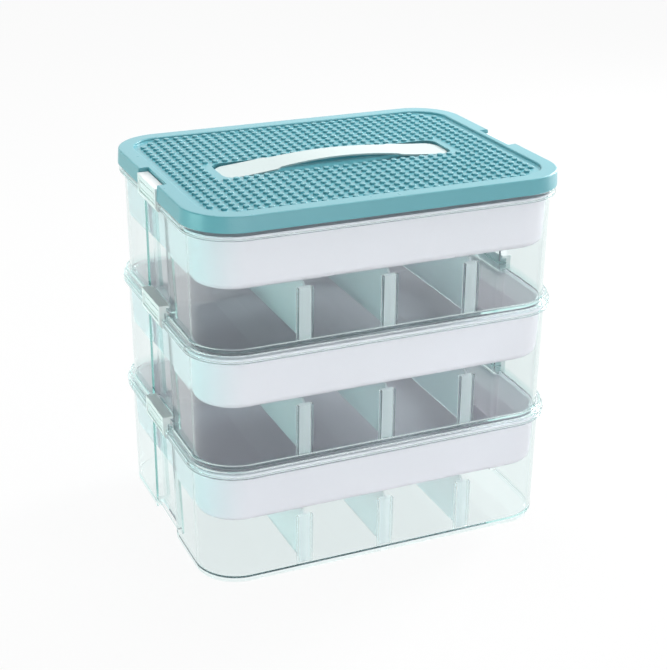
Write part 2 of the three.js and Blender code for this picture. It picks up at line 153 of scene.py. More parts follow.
# Strap, and how many columns its grip, shoulders, paddles and round ends have.
STRAP_HALF = 94 * MM
STRAP_THICKNESS = 1.2 * MM
STRAP_CROWN = 293.2 * MM
STRAP_DROP = 7.2 * MM
GRIP_HALF = 11.8 * MM
GRIP_SWELL = 1.4 * MM
GRIP_REACH = 48 * MM
GRIP_DROP = 3 * MM
PADDLE_HALF = 16 * MM
PADDLE_SHOULDER = 5 * MM
PADDLE_CORNER = 10 * MM
LEG = (3 * MM, 20 * MM)
FOOT_OVERHANG = 2.5 * MM
FOOT_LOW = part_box("handle")[0].z
FOOT = 2 * MM
STRAP_ROWS = 4
GRIP_COLUMNS = 12
SHOULDER_COLUMNS = 6
PADDLE_COLUMNS = 8
END_COLUMNS = 10

# Latch: heights count from the base of its tub.
LATCH_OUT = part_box("latch_right_1")[1].x
LATCH_IN = 144.2 * MM
LATCH_HALF = 22.3 * MM
LATCH_LOW = 86.3 * MM
LATCH_HIGH = 104 * MM
HOOK_TIP = 141.4 * MM
HOOK = 1.9 * MM
LATCH_TAPER = 3 * MM
LATCH_TAPER_DEPTH = 1.6 * MM
STUB_RADIUS = 0.9 * MM
STUB_REACH = 26 * MM
PIVOT = (146.65 * MM, 91.6 * MM)

# The latch's panel: how far each step is set in and then raised, and which face it starts from.
PANEL_STEPS = ((1.5 * MM, -1.2 * MM), (1.8 * MM, 0.8 * MM), (1.2 * MM, -0.5 * MM))
PANEL_AREA = 300 * MM**2
PANEL_FACING = 0.99

# Moulded plastic: the widths of its tone drift and rubbed patches, the roughness that the patches take off and
# add, and the height of its grain.
DRIFT = 60 * MM
RUB = 9 * MM
RUB_SMOOTH = 0.02
RUB_ROUGH = 0.03
GRAIN_HEIGHT = 0.05 * MM
POLYPROPYLENE_IOR = 1.49

# Clear plastic: the relief of its flow waves, and how far they change the roughness. A ray that has bounced or
# bent more than TRAPPED times goes straight on, with only a tint.
FLOW_RELIEF = 0.06
FLOW_HEIGHT = 0.3 * MM
FLOW_GLOSS = 0.03
TRAPPED = 3
BOUNCES = 48

# World: how strongly it lights from the sides and from above, and the teal of its left side, which is full in
# gloss and through clear plastic, less by DIFFUSE_WHITE in diffuse light, and unseen by the camera.
WALL_LIGHT = 0.66
CEILING_LIGHT = 0.24
CEILING_FROM = 0.5
TEAL_WALL = "#6FBDB4"
TEAL_FROM = -0.25
TEAL_FULL = -0.9
DIFFUSE_WHITE = 0.6
GLOSS_LIFT = 0.35

# Floor: its width, its paper, and the share of plain white that shows in place of the paper and its shadows.
FLOOR_SIZE = 12
FLOOR_PAPER = "#F2F2F2"
SHADOW_LIFT = 0.94

# Lamps, aimed at AIM: name, place, width and height, power in watts and colour.
AIM = (0, 0, 150 * MM)
LAMPS = (
    ("key_softbox", (1.25, 0.5, 0.95), (0.45, 0.45), 20, "#FFFFFF"),
    ("top_softbox", (0.1, 0.25, 1.5), (0.5, 0.5), 8, "#FFFFFF"),
    ("front_strip", (-0.1, -1.5, 0.17), (1.4, 0.24), 4.8, "#FFFFFF"),
    ("right_strip", (1.5, 0.25, 0.17), (1.2, 0.24), 9, "#FFFFFF"),
    ("left_strip", (-1.4, 0.1, 0.17), (0.8, 0.24), 7.5, "#BFEFE7"),
    ("edge_light", (0.48, -0.54, 1.38), (0.3, 0.3), 2, "#FFFFFF"),
)

# Camera: its place in millimetres, its turn in degrees, its lens and the lens's shift down to the case.
CAMERA_PLACE = (-438.6, -1007.3, 609.4)
CAMERA_TURN = (69.945, -0.442, -23.405)
SENSOR = 36
LENS = 79.56
LENS_SHIFT = -0.1195


def only(piece):
    """Makes piece the one selected and active object."""
    bpy.ops.object.select_all(action="DESELECT")
    piece.select_set(True)
    bpy.context.view_layer.objects.active = piece


def started(name):
    """Names the primitive that was just added, and opens it with all of it selected."""
    piece = bpy.context.object
    piece.name = piece.data.name = name
    only(piece)
    bpy.ops.object.mode_set(mode="EDIT")
    bpy.ops.mesh.select_all(action="SELECT")
    return piece


def done():
    """Closes the piece that is open."""
    bpy.ops.object.mode_set(mode="OBJECT")


def pick(piece, kind, wanted):
    """Selects only the wanted vertices, edges or faces of the piece that is open."""
    modes = {"verts": "VERT", "edges": "EDGE", "faces": "FACE"}
    bpy.ops.mesh.select_mode(type=modes[kind])
    bpy.ops.mesh.select_all(action="DESELECT")
    mesh = bmesh.from_edit_mesh(piece.data)
    mesh.normal_update()
    chosen = [item for item in getattr(mesh, kind) if wanted(item)]
    for item in chosen:
        item.select_set(True)
    mesh.select_flush_mode()
    bmesh.update_edit_mesh(piece.data)
    return chosen


def move(x=0, y=0, z=0):
    """Moves what is selected in the piece that is open."""
    bpy.ops.transform.translate(value=(x, y, z))


def box(name, low, high):
    """A block between two corners, left open in edit mode."""
    bpy.ops.mesh.primitive_cube_add(size=1)
    piece = started(name)
    bpy.ops.transform.resize(value=[high[axis] - low[axis] for axis in range(3)])
    move(*[(high[axis] + low[axis]) / 2 for axis in range(3)])
    return piece


def tapered(name, lower, upper):
    """A block from a lower to an upper rectangle, each (x from, x to, half-width in Y, z)."""
    bpy.ops.mesh.primitive_cube_add(size=1)
    piece = started(name)
    for side, (from_x, to_x, half, z) in ((-1, lower), (1, upper)):
        pick(piece, "faces", lambda face: face.normal.z * side > FACING)
        bpy.ops.transform.resize(value=(to_x - from_x, 2 * half, 1), center_override=(0, 0, 0))
        move((from_x + to_x) / 2, 0, z - side / 2)
    done()
    return piece


def cut(piece, *tools, kind="DIFFERENCE"):
    """Cuts the tools out of piece, or joins them to it, and removes them."""
    for tool in tools:
        only(piece)
        change = piece.modifiers.new(kind, "BOOLEAN")
        change.operation = kind
        change.solver = "EXACT"
        change.object = tool
        bpy.ops.object.modifier_apply(modifier=change.name)
        bpy.data.objects.remove(tool)
    return piece


def filleted(profile):
    """The (inset, z) points of a profile of (inset, z, radius), with an arc where a radius is given."""
    points = []
    for at, (inset, z, radius) in enumerate(profile):
        if not radius:
            points.append((inset, z))
            continue
        before, after = profile[at - 1], profile[at + 1]
        back = math.atan2(before[1] - z, before[0] - inset)
        ahead = math.atan2(after[1] - z, after[0] - inset)
        half = abs(math.remainder(back - ahead, math.tau)) / 2
        middle = back - math.remainder(back - ahead, math.tau) / 2
        centre_x = inset + radius / math.sin(half) * math.cos(middle)
        centre_z = z + radius / math.sin(half) * math.sin(middle)
        reach = radius / math.tan(half)
        start = math.atan2(z + reach * math.sin(back) - centre_z, inset + reach * math.cos(back) - centre_x)
        turn = math.remainder(
            math.atan2(z + reach * math.sin(ahead) - centre_z, inset + reach * math.cos(ahead) - centre_x)
            - start,
            math.tau,
        )
        for step in range(FILLET_STEPS + 1):
            angle = start + turn * step / FILLET_STEPS
            points.append((centre_x + radius * math.cos(angle), centre_z + radius * math.sin(angle)))
    return points


def rounded(name, half_x, half_y, corner, inset, low, high):
    """A slab with a rounded outline, this far inside half_x and half_y, left open in edit mode."""
    bpy.ops.mesh.primitive_plane_add(size=2)
    piece = started(name)
    bpy.ops.transform.resize(value=(half_x - inset, half_y - inset, 1))
    move(z=low)
    bpy.ops.mesh.bevel(offset=corner - inset, segments=CORNER_SEGMENTS, affect="VERTICES")
    pick(piece, "faces", lambda face: True)
    bpy.ops.mesh.extrude_region_move(TRANSFORM_OT_translate={"value": (0, 0, high - low)})
    bpy.ops.mesh.select_all(action="SELECT")
    bpy.ops.mesh.normals_make_consistent(inside=False)
    return piece


def rings(piece, side, profile):
    """Carries the cap that faces side, 1 up or -1 down, through the rings of a profile."""
    faces = bmesh.from_edit_mesh(piece.data).faces
    end = max(side * face.calc_center_median().z for face in faces if face.normal.z * side > FACING)
    pick(
        piece,
        "faces",
        lambda face: face.normal.z * side > FACING and side * face.calc_center_median().z > end - MM / 100,
    )
    points = filleted(profile)
    for (inset, z), (inset_to, z_to) in zip(points, points[1:]):
        if inset_to - inset > MM / 1000:
            bpy.ops.mesh.inset(
                thickness=inset_to - inset,
                depth=side * (z_to - z),
                use_even_offset=True,
                use_relative_offset=False,
            )
        elif abs(z_to - z) > MM / 1000:
            bpy.ops.mesh.extrude_region_move(TRANSFORM_OT_translate={"value": (0, 0, z_to - z)})


def finish(piece, edge=0.4 * MM, segments=2):
    """Rounds the edges that are still sharp and smooths the shading."""
    only(piece)
    bpy.ops.object.mode_set(mode="EDIT")
    bpy.ops.mesh.select_all(action="SELECT")
    bpy.ops.mesh.remove_doubles(threshold=MM / 200)
    done()
    if edge:
        soft = piece.modifiers.new("edges", "BEVEL")
        soft.width = edge
        soft.segments = segments
        soft.limit_method = "ANGLE"
        soft.angle_limit = SHARP
        soft.use_clamp_overlap = True
        bpy.ops.object.modifier_apply(modifier=soft.name)
    bpy.ops.object.shade_smooth_by_angle(angle=SHARP)
    weighted = piece.modifiers.new("normals", "WEIGHTED_NORMAL")
    weighted.keep_sharp = True
    bpy.ops.object.modifier_apply(modifier=weighted.name)
    return piece


def copied(piece, name, x=0, y=0, z=0, turned=False):
    """A copy with its own mesh, moved, or turned half round the case's middle and moved."""
    only(piece)
    bpy.ops.object.duplicate()
    copy = bpy.context.object
    copy.name = copy.data.name = name
    if turned:
        copy.rotation_euler.z = math.pi
    copy.location = (x, y, z)
    bpy.ops.object.transform_apply(location=True, rotation=True, scale=True)
    return copy


def channel_at(z, grow):
    """The right channel's reach in X, half-width and height at z, its sides moved out by grow."""
    share = z / TUB_HEIGHT
    depth, half = (base + (top - base) * share for base, top in zip(CHANNEL_BASE, CHANNEL_TOP))
    return END - depth - grow, END + PAST, half + grow, z


def is_long(edge):
    """Whether an edge runs up the height of the piece rather than across it."""
    run = edge.verts[0].co - edge.verts[1].co
    return abs(run.z) > TUB_HEIGHT / 2


def channels(grow, low, high):
    """The channels at both ends as blocks, each side moved out by grow, with round inner corners."""
    made = []
    for side in (1, -1):
        ends = []
        for z in (low, high):
            from_x, to_x, half, level = channel_at(z, grow)
            ends.append((from_x, to_x, half, level) if side > 0 else (-to_x, -from_x, half, level))
        channel = tapered("channel", *ends)
        only(channel)
        bpy.ops.object.mode_set(mode="EDIT")
        inside = END + PAST / 2
        pick(
            channel,
            "edges",
            lambda edge: is_long(edge) and all(side * vertex.co.x < inside for vertex in edge.verts),
        )
        bpy.ops.mesh.bevel(offset=CHANNEL_CORNER + grow, segments=5, affect="EDGES")
        done()
        made.append(channel)
    return made


def rods(radius, reach, sides=16):
    """Rods on the latches' axes at both ends of a tub."""
    made = []
    for side in (1, -1):
        bpy.ops.mesh.primitive_cylinder_add(vertices=sides, radius=radius, depth=2 * reach)
        rod = started("rod")
        bpy.ops.transform.rotate(value=math.pi / 2, orient_axis="X", center_override=(0, 0, 0))
        move(side * PIVOT[0], 0, PIVOT[1])
        done()
        made.append(rod)
    return made


def blocks(*corners):
    """A finished block for each pair of low and high corners."""
    made = []
    for low, high in corners:
        made.append(box("block", low, high))
        done()
    return made


def divider_middles():
    """Where the dividers of a tub stand along the case."""
    return [(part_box(f"divider_1_{n}")[0].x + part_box(f"divider_1_{n}")[1].x) / 2 for n in (1, 2, 3)]


def tub_shape():
    """One tub with its base at zero: lip, neck, drafted wall, foot ring, end channels, ledges and ribs."""
    tub = rounded("tub", END, FRONT, CORNER, 0, LIP_BOTTOM + MM, LIP_TOP - MM)
    foot = WALL_BASE_INSET + BASE_EDGE + FOOT_RING
    rings(
        tub,
        1,
        [
            (0, LIP_TOP - MM, 0),
            (0, LIP_TOP, LIP_FILLET),
            (NECK_INSET, LIP_TOP, NECK_FILLET),
            (NECK_INSET, TUB_HEIGHT, LIP_FILLET),
            (BAND + WALL, TUB_HEIGHT, 0),
        ],
    )
    rings(
        tub,
        -1,
        [
            (0, LIP_BOTTOM + MM, 0),
            (0, LIP_BOTTOM, LIP_FILLET),
            (WALL_TOP_INSET, LIP_BOTTOM, LIP_FILLET),
            (WALL_BASE_INSET, 0, BASE_FILLET),
            (foot, 0, FOOT_FILLET),
            (foot, FOOT_HEIGHT, 0),
        ],
    )
    done()
    hollow = rounded("hollow", END, FRONT, CORNER, BAND, SHELF + MM, TUB_HEIGHT + PAST)
    rings(
        hollow,
        -1,
        [
            (BAND, SHELF + MM, 0),
            (BAND, SHELF, SHELF_FILLET),
            (WALL_TOP_INSET + WALL, SHELF, SHELF_FILLET),
            (WALL_BASE_INSET + WALL, FLOOR_TOP, FLOOR_FILLET),
            (WALL_BASE_INSET + 3 * WALL, FLOOR_TOP, 0),
        ],
    )
    done()
    cut(hollow, *channels(WALL, 0, TUB_HEIGHT + 2 * PAST))
    cut(tub, *channels(0, -PAST, TUB_HEIGHT + PAST))
    cut(tub, hollow)
    low = (END - LEDGE_INSET - LEDGE_DEPTH, END - LEDGE_INSET)
    half = CHANNEL_BASE[1]
    ledges = blocks(
        ((low[0], -half, LEDGE_BOTTOM), (low[1], half, LEDGE_BOTTOM + LEDGE)),
        ((-low[1], -half, LEDGE_BOTTOM), (-low[0], half, LEDGE_BOTTOM + LEDGE)),
    )
    ribs = []
    for middle in divider_middles():
        for side in (-1, 1):
            at = middle + side * (DIVIDER_EDGE / 2 + SIDE_GAP + RIB / 2)
            for y in (RIB_INNER, -RIB_INNER):
                outer = math.copysign(FRONT - WALL_BASE_INSET - WALL / 2, y)
                ribs.append(
                    (
                        (at - RIB / 2, min(y, outer), FLOOR_TOP - MM),
                        (at + RIB / 2, max(y, outer), RIB_TOP),
                    )
                )
    cut(tub, *ledges, *blocks(*ribs), kind="UNION")
    cut(tub, *rods(STUB_RADIUS + REST_GAP, STUB_REACH + SIDE_GAP))
    return finish(tub)


def tray_shape():
    """One tray with its tub's base at zero: a flange over a drafted bin with rounded lower edges."""
    foot = TRAY_INSET + TRAY_DRAFT
    middle = TRAY_TOP - TRAY_FLANGE / 2
    tray = rounded("tray", END, FRONT, CORNER, TRAY_FLANGE_INSET, middle, TRAY_TOP - MM / 2)
    rings(
        tray,
        1,
        [
            (TRAY_FLANGE_INSET, TRAY_TOP - MM / 2, 0),
            (TRAY_FLANGE_INSET, TRAY_TOP, TRAY_FILLET),
            (TRAY_INSET + 2 * TRAY_WALL, TRAY_TOP, 0),
        ],
    )
    rings(
        tray,
        -1,
        [
            (TRAY_FLANGE_INSET, middle, 0),
            (TRAY_FLANGE_INSET, TRAY_TOP - TRAY_FLANGE, TRAY_FILLET),
            (TRAY_INSET, TRAY_TOP - TRAY_FLANGE, TRAY_FILLET),
            (foot, TRAY_BOTTOM, TRAY_EDGE),
            (foot + 2 * TRAY_EDGE, TRAY_BOTTOM, 0),
        ],
    )
    done()
    top = TRAY_TOP + PAST
    inner = TRAY_INSET + TRAY_WALL
    bin_hollow = rounded("bin", END, FRONT, CORNER, inner, TRAY_TOP, top)
    rings(
        bin_hollow,
        -1,
        [
            (inner, TRAY_TOP, 0),
            (inner + TRAY_DRAFT, TRAY_BOTTOM + TRAY_WALL, TRAY_EDGE - TRAY_WALL / 2),
            (inner + 3 * TRAY_EDGE, TRAY_BOTTOM + TRAY_WALL, 0),
        ],
    )
    done()
    cut(bin_hollow, *channels(WALL + SIDE_GAP + TRAY_WALL, 0, TUB_HEIGHT + PAST))
    cut(tray, *channels(WALL + SIDE_GAP, 0, TUB_HEIGHT + PAST), bin_hollow)
    edge = FRONT - foot
    notches = []
    for x in (-NOTCH_X, NOTCH_X):
        for side in (-1, 1):
            from_y, to_y = sorted((side * (edge - NOTCH_DEPTH), side * (edge + PAST)))
            notches.append(
                (
                    (x - NOTCH_HALF, from_y, TRAY_BOTTOM - PAST),
                    (x + NOTCH_HALF, to_y, TRAY_BOTTOM + NOTCH_HEIGHT),
                )
            )
    cut(tray, *blocks(*notches))
    return finish(tray, edge=0.5 * MM)


def divider_shape():
    """The first divider where it stands: a thin web with a wide strip at each end."""
    low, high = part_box("divider_1_1")
    middle = (low.x + high.x) / 2
    half = DIVIDER_WEB / 2
    divider = box("divider", (middle - half, low.y, low.z), (middle + half, high.y, high.z))
    for y in (low.y + DIVIDER_STRIP, high.y - DIVIDER_STRIP):
        bpy.ops.mesh.select_all(action="SELECT")
        bpy.ops.mesh.bisect(plane_co=(0, y, 0), plane_no=(0, 1, 0))
    strip = high.y - DIVIDER_STRIP
    for side in (-1, 1):
        pick(
            divider,
            "faces",
            lambda face: face.normal.x * side > FACING and abs(face.calc_center_median().y) > strip,
        )
        reach = side * (DIVIDER_EDGE - DIVIDER_WEB) / 2
        bpy.ops.mesh.extrude_region_move(TRANSFORM_OT_translate={"value": (reach, 0, 0)})
    done()
    past = 2 * DIVIDER_EDGE
    for z, size in ((high.z, DIVIDER_CHAMFER), (low.z, DIVIDER_COVE)):
        for y in (low.y, high.y):
            bpy.ops.mesh.primitive_cube_add(size=1)
            corner = started("corner")
            bpy.ops.transform.resize(value=(past, size * math.sqrt(2), size * math.sqrt(2)))
            bpy.ops.transform.rotate(value=math.pi / 4, orient_axis="X", center_override=(0, 0, 0))
            move(middle, y, z)
            done()
            cut(divider, corner)
    return finish(divider, edge=0.3 * MM)


def on_plate(x, y):
    """Whether the lid's plate has room for a stud here, clear of its edge and of the trough."""
    half_x, half_y = END - RIM_WIDTH, FRONT - RIM_WIDTH
    corner = CORNER - RIM_WIDTH
    over_x = max(abs(x) - (half_x - corner), 0)
    over_y = max(abs(y) - (half_y - corner), 0)
    beside = STUD_RADIUS + STUD_TO_TROUGH
    at_trough = abs(x) < TROUGH_HALF[0] + beside and abs(y) < TROUGH_HALF[1] + beside
    return math.hypot(over_x, over_y) <= corner - STUD_RADIUS - STUD_TO_EDGE and not at_trough


def stud_grid():
    """Round studs on a square grid over the lid's plate."""
    columns = math.floor((END - RIM_WIDTH - STUD_RADIUS - STUD_TO_EDGE) / STUD_PITCH)
    rows = math.floor((FRONT - RIM_WIDTH - STUD_RADIUS - STUD_TO_EDGE) / STUD_PITCH)
    bpy.ops.mesh.primitive_cylinder_add(
        vertices=STUD_SIDES, radius=STUD_RADIUS, depth=STUD_HEIGHT + STUD_ROOT, end_fill_type="NGON"
    )
    studs = started("studs")
    move(-columns * STUD_PITCH, -rows * STUD_PITCH, PLATE_TOP + (STUD_HEIGHT - STUD_ROOT) / 2)
    top = PLATE_TOP + STUD_HEIGHT
    pick(studs, "edges", lambda edge: all(vertex.co.z > top - MM / 10 for vertex in edge.verts))
    bpy.ops.mesh.bevel(offset=STUD_ROUND, segments=3, affect="EDGES")
    pick(studs, "faces", lambda face: face.normal.z < -FACING)
    bpy.ops.mesh.delete(type="FACE")
    done()
    for axis, count in ((0, 2 * columns + 1), (1, 2 * rows + 1)):
        row = studs.modifiers.new("row", "ARRAY")
        row.count = count
        row.use_relative_offset = False
        row.use_constant_offset = True
        row.constant_offset_displace = [STUD_PITCH if at == axis else 0 for at in range(3)]
        only(studs)
        bpy.ops.object.modifier_apply(modifier=row.name)
    bpy.ops.object.mode_set(mode="EDIT")

    def unwanted(face):
        middle = face.calc_center_bounds()
        return not on_plate(*(round(at / STUD_PITCH) * STUD_PITCH for at in middle.xy))

    pick(studs, "faces", unwanted)
    bpy.ops.mesh.delete(type="FACE")
    done()
    return finish(studs, edge=0)


def lid_shape():
    """The lid: skirt, rim, recessed plate, trough with its slots, and a notch with a ledge at each end."""
    lid = rounded("lid_shell", END, FRONT, CORNER, -SKIRT_FLARE, SKIRT_BOTTOM, SKIRT_BOTTOM + MM)
    rings(
        lid,
        1,
        [
            (-SKIRT_FLARE, SKIRT_BOTTOM + MM, 0),
            (0, LID_TOP, RIM_FILLET),
            (RIM_WIDTH, LID_TOP, RIM_FILLET),
            (RIM_WIDTH + PLATE_SLOPE, PLATE_TOP, PLATE_FILLET),
            (RIM_WIDTH + 2 * MM, PLATE_TOP, 0),
        ],
    )
    inner = SKIRT - SKIRT_FLARE
    rings(
        lid,
        -1,
        [
            (-SKIRT_FLARE, SKIRT_BOTTOM, 0),
            (inner, SKIRT_BOTTOM, 0),
            (inner, LID_REST, 0),
            (RIM_UNDER, LID_REST, 0),
            (RIM_UNDER, PLATE_UNDER, 0),
        ],
    )
    done()
    keep = NOTCH_ROOT - LID_NOTCH_WALL
    half = LID_NOTCH_HALF + LID_NOTCH_WALL
    under = PLATE_UNDER + MM
    cut(
        lid,
        *blocks(
            ((keep, -half, LID_REST), (NOTCH_ROOT + LID_NOTCH_BITE, half, under)),
            ((-NOTCH_ROOT - LID_NOTCH_BITE, -half, LID_REST), (-keep, half, under)),
        ),
        kind="UNION",
    )
    shell = rounded(
        "trough",
        TROUGH_HALF[0] + TROUGH_WALL,
        TROUGH_HALF[1] + TROUGH_WALL,
        TROUGH_CORNER + TROUGH_WALL,
        0,
        TROUGH_FLOOR - TROUGH_WALL,
        under,
    )
    done()
    cut(lid, shell, kind="UNION")
    foot = TROUGH_FLOOR + 2 * MM
    hollow = rounded("trough_hollow", *TROUGH_HALF, TROUGH_CORNER, 0, foot, LID_TOP + PAST)
    rings(
        hollow,
        -1,
        [(0, foot, 0), (0, TROUGH_FLOOR, TROUGH_FILLET), (3 * MM, TROUGH_FLOOR, 0)],
    )
    done()
    notch = LID_NOTCH_HALF
    cuts = blocks(
        ((NOTCH_ROOT, -notch, SKIRT_BOTTOM - PAST), (END + PAST, notch, LID_TOP + PAST)),
        ((-END - PAST, -notch, SKIRT_BOTTOM - PAST), (-NOTCH_ROOT, notch, LID_TOP + PAST)),
    )
    slot_x = LEG[0] / 2 + REST_GAP
    slot_y = LEG[1] / 2 + REST_GAP
    slots = blocks(
        *(
            (
                (side * SLOT_X - slot_x, -slot_y, TROUGH_FLOOR - PAST),
                (side * SLOT_X + slot_x, slot_y, TROUGH_FLOOR + PAST),
            )
            for side in (-1, 1)
        )
    )
    cut(lid, hollow, *cuts, *slots)
    reach = (NOTCH_ROOT - MM, END - LEDGE_INSET)
    ledges = blocks(
        ((reach[0], -notch - MM / 2, LID_REST), (reach[1], notch + MM / 2, LID_REST + LEDGE)),
        ((-reach[1], -notch - MM / 2, LID_REST), (-reach[0], notch + MM / 2, LID_REST + LEDGE)),
    )
    cut(lid, *ledges, kind="UNION")
    return finish(lid, edge=0.5 * MM, segments=3)


def strap_top(x):
    """The height of the strap's upper face: an arch over the grip that eases off along the paddles."""
    over_grip = min(abs(x), GRIP_REACH)
    reach = STRAP_HALF - GRIP_REACH
    along_paddle = (abs(x) - over_grip) / reach
    fall = 2 * GRIP_DROP * reach / GRIP_REACH
    paddle_drop = fall * along_paddle - (fall - STRAP_DROP + GRIP_DROP) * along_paddle**2
    return STRAP_CROWN - GRIP_DROP * (over_grip / GRIP_REACH) ** 2 - paddle_drop


def strap_half(x):
    """Half the strap's width: a narrow grip, a soft shoulder, and a paddle with a round end."""
    share = min(max((abs(x) - GRIP_REACH) / PADDLE_SHOULDER, 0), 1)
    grip = GRIP_HALF + GRIP_SWELL * min(abs(x) / GRIP_REACH, 1) ** 2
    half = grip + (PADDLE_HALF - grip) * share * share * (3 - 2 * share)
    into_end = max(abs(x) - (STRAP_HALF - PADDLE_CORNER), 0)
    return half - PADDLE_CORNER + math.sqrt(max(PADDLE_CORNER**2 - into_end**2, 0))


def strap_columns():
    """Where the strap's columns stand: close at the shoulders and the round ends."""
    half = [GRIP_REACH * step / GRIP_COLUMNS for step in range(GRIP_COLUMNS)]
    shoulder = [PADDLE_SHOULDER * step / SHOULDER_COLUMNS for step in range(SHOULDER_COLUMNS + 1)]
    half += [GRIP_REACH + along for along in shoulder]
    start, end = GRIP_REACH + PADDLE_SHOULDER, STRAP_HALF - PADDLE_CORNER
    half += [start + (end - start) * step / PADDLE_COLUMNS for step in range(1, PADDLE_COLUMNS)]
    turns = [math.pi / 2 * step / END_COLUMNS for step in range(END_COLUMNS + 1)]
    half += [end + PADDLE_CORNER * math.sin(turn) for turn in turns]
    return sorted([-x for x in half[1:]] + half)


def handle_shape():
    """The carrying strap, with a leg and a foot under each end."""
    columns = strap_columns()
    bpy.ops.mesh.primitive_grid_add(x_subdivisions=len(columns) - 1, y_subdivisions=STRAP_ROWS, size=2)
    strap = started("strap")
    spacing = 2 / (len(columns) - 1)
    mesh = bmesh.from_edit_mesh(strap.data)
    for vertex in mesh.verts:
        x = columns[round((vertex.co.x + 1) / spacing)]
        vertex.co = (x, vertex.co.y * strap_half(x), strap_top(x))
    bmesh.update_edit_mesh(strap.data)
    bpy.ops.mesh.select_all(action="SELECT")
    bpy.ops.mesh.remove_doubles(threshold=MM / 100)
    done()
    thick = strap.modifiers.new("thickness", "SOLIDIFY")
    thick.thickness = STRAP_THICKNESS
    thick.offset = -1
    thick.use_even_offset = True
    only(strap)
    bpy.ops.object.modifier_apply(modifier=thick.name)
    legs = []
    for side in (-1, 1):
        x = side * SLOT_X
        top = strap_top(x) - STRAP_THICKNESS / 2
        legs += blocks(
            ((x - LEG[0] / 2, -LEG[1] / 2, FOOT_LOW + FOOT / 2), (x + LEG[0] / 2, LEG[1] / 2, top)),
            (
                (x - LEG[0] / 2 - FOOT_OVERHANG, -LEG[1] / 2, FOOT_LOW),
                (x + LEG[0] / 2 + FOOT_OVERHANG, LEG[1] / 2, FOOT_LOW + FOOT),
            ),
        )
    cut(strap, *legs, kind="UNION")
    return finish(strap, edge=0.7 * MM, segments=3)


def latch_shape():
    """The right latch of a tub with its base at zero: a plate with a sunk panel, and a hook on top."""
    latch = box("latch", (LATCH_IN, -LATCH_HALF, LATCH_LOW), (LATCH_OUT, LATCH_HALF, LATCH_HIGH))
    for z in (LATCH_HIGH - HOOK, LATCH_LOW + LATCH_TAPER):
        bpy.ops.mesh.select_all(action="SELECT")
        bpy.ops.mesh.bisect(plane_co=(0, 0, z), plane_no=(0, 0, 1))
    pick(
        latch,
        "faces",
        lambda face: face.normal.x < -FACING and face.calc_center_median().z > LATCH_HIGH - HOOK,
    )
    bpy.ops.mesh.extrude_region_move(TRANSFORM_OT_translate={"value": (HOOK_TIP - LATCH_IN, 0, 0)})
    pick(latch, "verts", lambda vertex: vertex.co.z < LATCH_LOW + MM and vertex.co.x > LATCH_IN + MM)
    move(x=-LATCH_TAPER_DEPTH)
    done()
    stubs = rods(STUB_RADIUS, STUB_REACH)
    bpy.data.objects.remove(stubs.pop())
    cut(latch, *stubs, kind="UNION")
    finish(latch, edge=0.6 * MM, segments=3)
    bpy.ops.object.mode_set(mode="EDIT")
    pick(
        latch,
        "faces",
        lambda face: face.normal.x > PANEL_FACING and face.calc_area() > PANEL_AREA,
    )
    for inset, rise in PANEL_STEPS:
        bpy.ops.mesh.inset(thickness=inset, depth=0)
        bpy.ops.mesh.extrude_region_move(TRANSFORM_OT_translate={"value": (rise, 0, 0)})
    done()
    return finish(latch, edge=0.2 * MM)


def colour(code):
    """An sRGB hex value as linear red, green, blue and alpha."""
    parts = [int(code[at : at + 2], 16) / 255 for at in (1, 3, 5)]
    linear = [part / 12.92 if part <= 0.04045 else ((part + 0.055) / 1.055) ** 2.4 for part in parts]
    return (*linear, 1)


def add(tree, kind, inputs=None, **settings):
    """Adds a node with its settings. An input is a value, or a socket that is linked to it."""
    node = tree.nodes.new(kind)
    for name, value in settings.items():
        setattr(node, name, value)
    for name, value in (inputs or {}).items():
        named = [at for at in node.inputs if at.name == name and at.enabled]
        socket = named[0] if named else node.inputs[name]
        if isinstance(value, bpy.types.NodeSocket):
            tree.links.new(value, socket)
        else:
            socket.default_value = value
    return node


def result(mix):
    """The output in use of a Mix node."""
    return next(socket for socket in mix.outputs if socket.enabled)


def new_material(name):
    """An empty material and its node tree."""
    material = bpy.data.materials.new(name)
    material.use_nodes = True
    tree = material.node_tree
    tree.nodes.clear()
    return material, tree


def moulded(name, shade, deep, roughness, grain, through=0, relief=0.12):
    """Moulded plastic: a fine satin grain, a slow drift of tone and faint rubbed patches."""
    material, tree = new_material(name)
    place = add(tree, "ShaderNodeTexCoord").outputs["Object"]
    drift = add(tree, "ShaderNodeTexNoise", {"Vector": place, "Scale": 1 / DRIFT, "Detail": 2.0})
    tone = add(
        tree,
        "ShaderNodeMix",
        {"Factor": drift.outputs[0], "A": colour(shade), "B": colour(deep)},
        data_type="RGBA",
    )
    rub = add(tree, "ShaderNodeTexNoise", {"Vector": place, "Scale": 1 / RUB, "Detail": 3.0})
    gloss = add(
        tree,
        "ShaderNodeMapRange",
        {"Value": rub.outputs[0], "To Min": roughness - RUB_SMOOTH, "To Max": roughness + RUB_ROUGH},
    )
    fine = add(tree, "ShaderNodeTexNoise", {"Vector": place, "Scale": 1 / (grain * MM), "Detail": 1.0})
    bump = add(
        tree,
        "ShaderNodeBump",
        {"Height": fine.outputs[0], "Strength": relief, "Distance": GRAIN_HEIGHT},
    )
    shader = add(
        tree,
        "ShaderNodeBsdfPrincipled",
        {
            "Base Color": result(tone),
            "Roughness": gloss.outputs[0],
            "IOR": POLYPROPYLENE_IOR,
            "Normal": bump.outputs[0],
        },
    )
    surface = shader
    if through:
        glow = add(tree, "ShaderNodeBsdfTranslucent", {"Color": result(tone)})
        surface = add(tree, "ShaderNodeMixShader", {0: through, 1: shader.outputs[0], 2: glow.outputs[0]})
    add(tree, "ShaderNodeOutputMaterial", {"Surface": surface.outputs[0]})
    return material


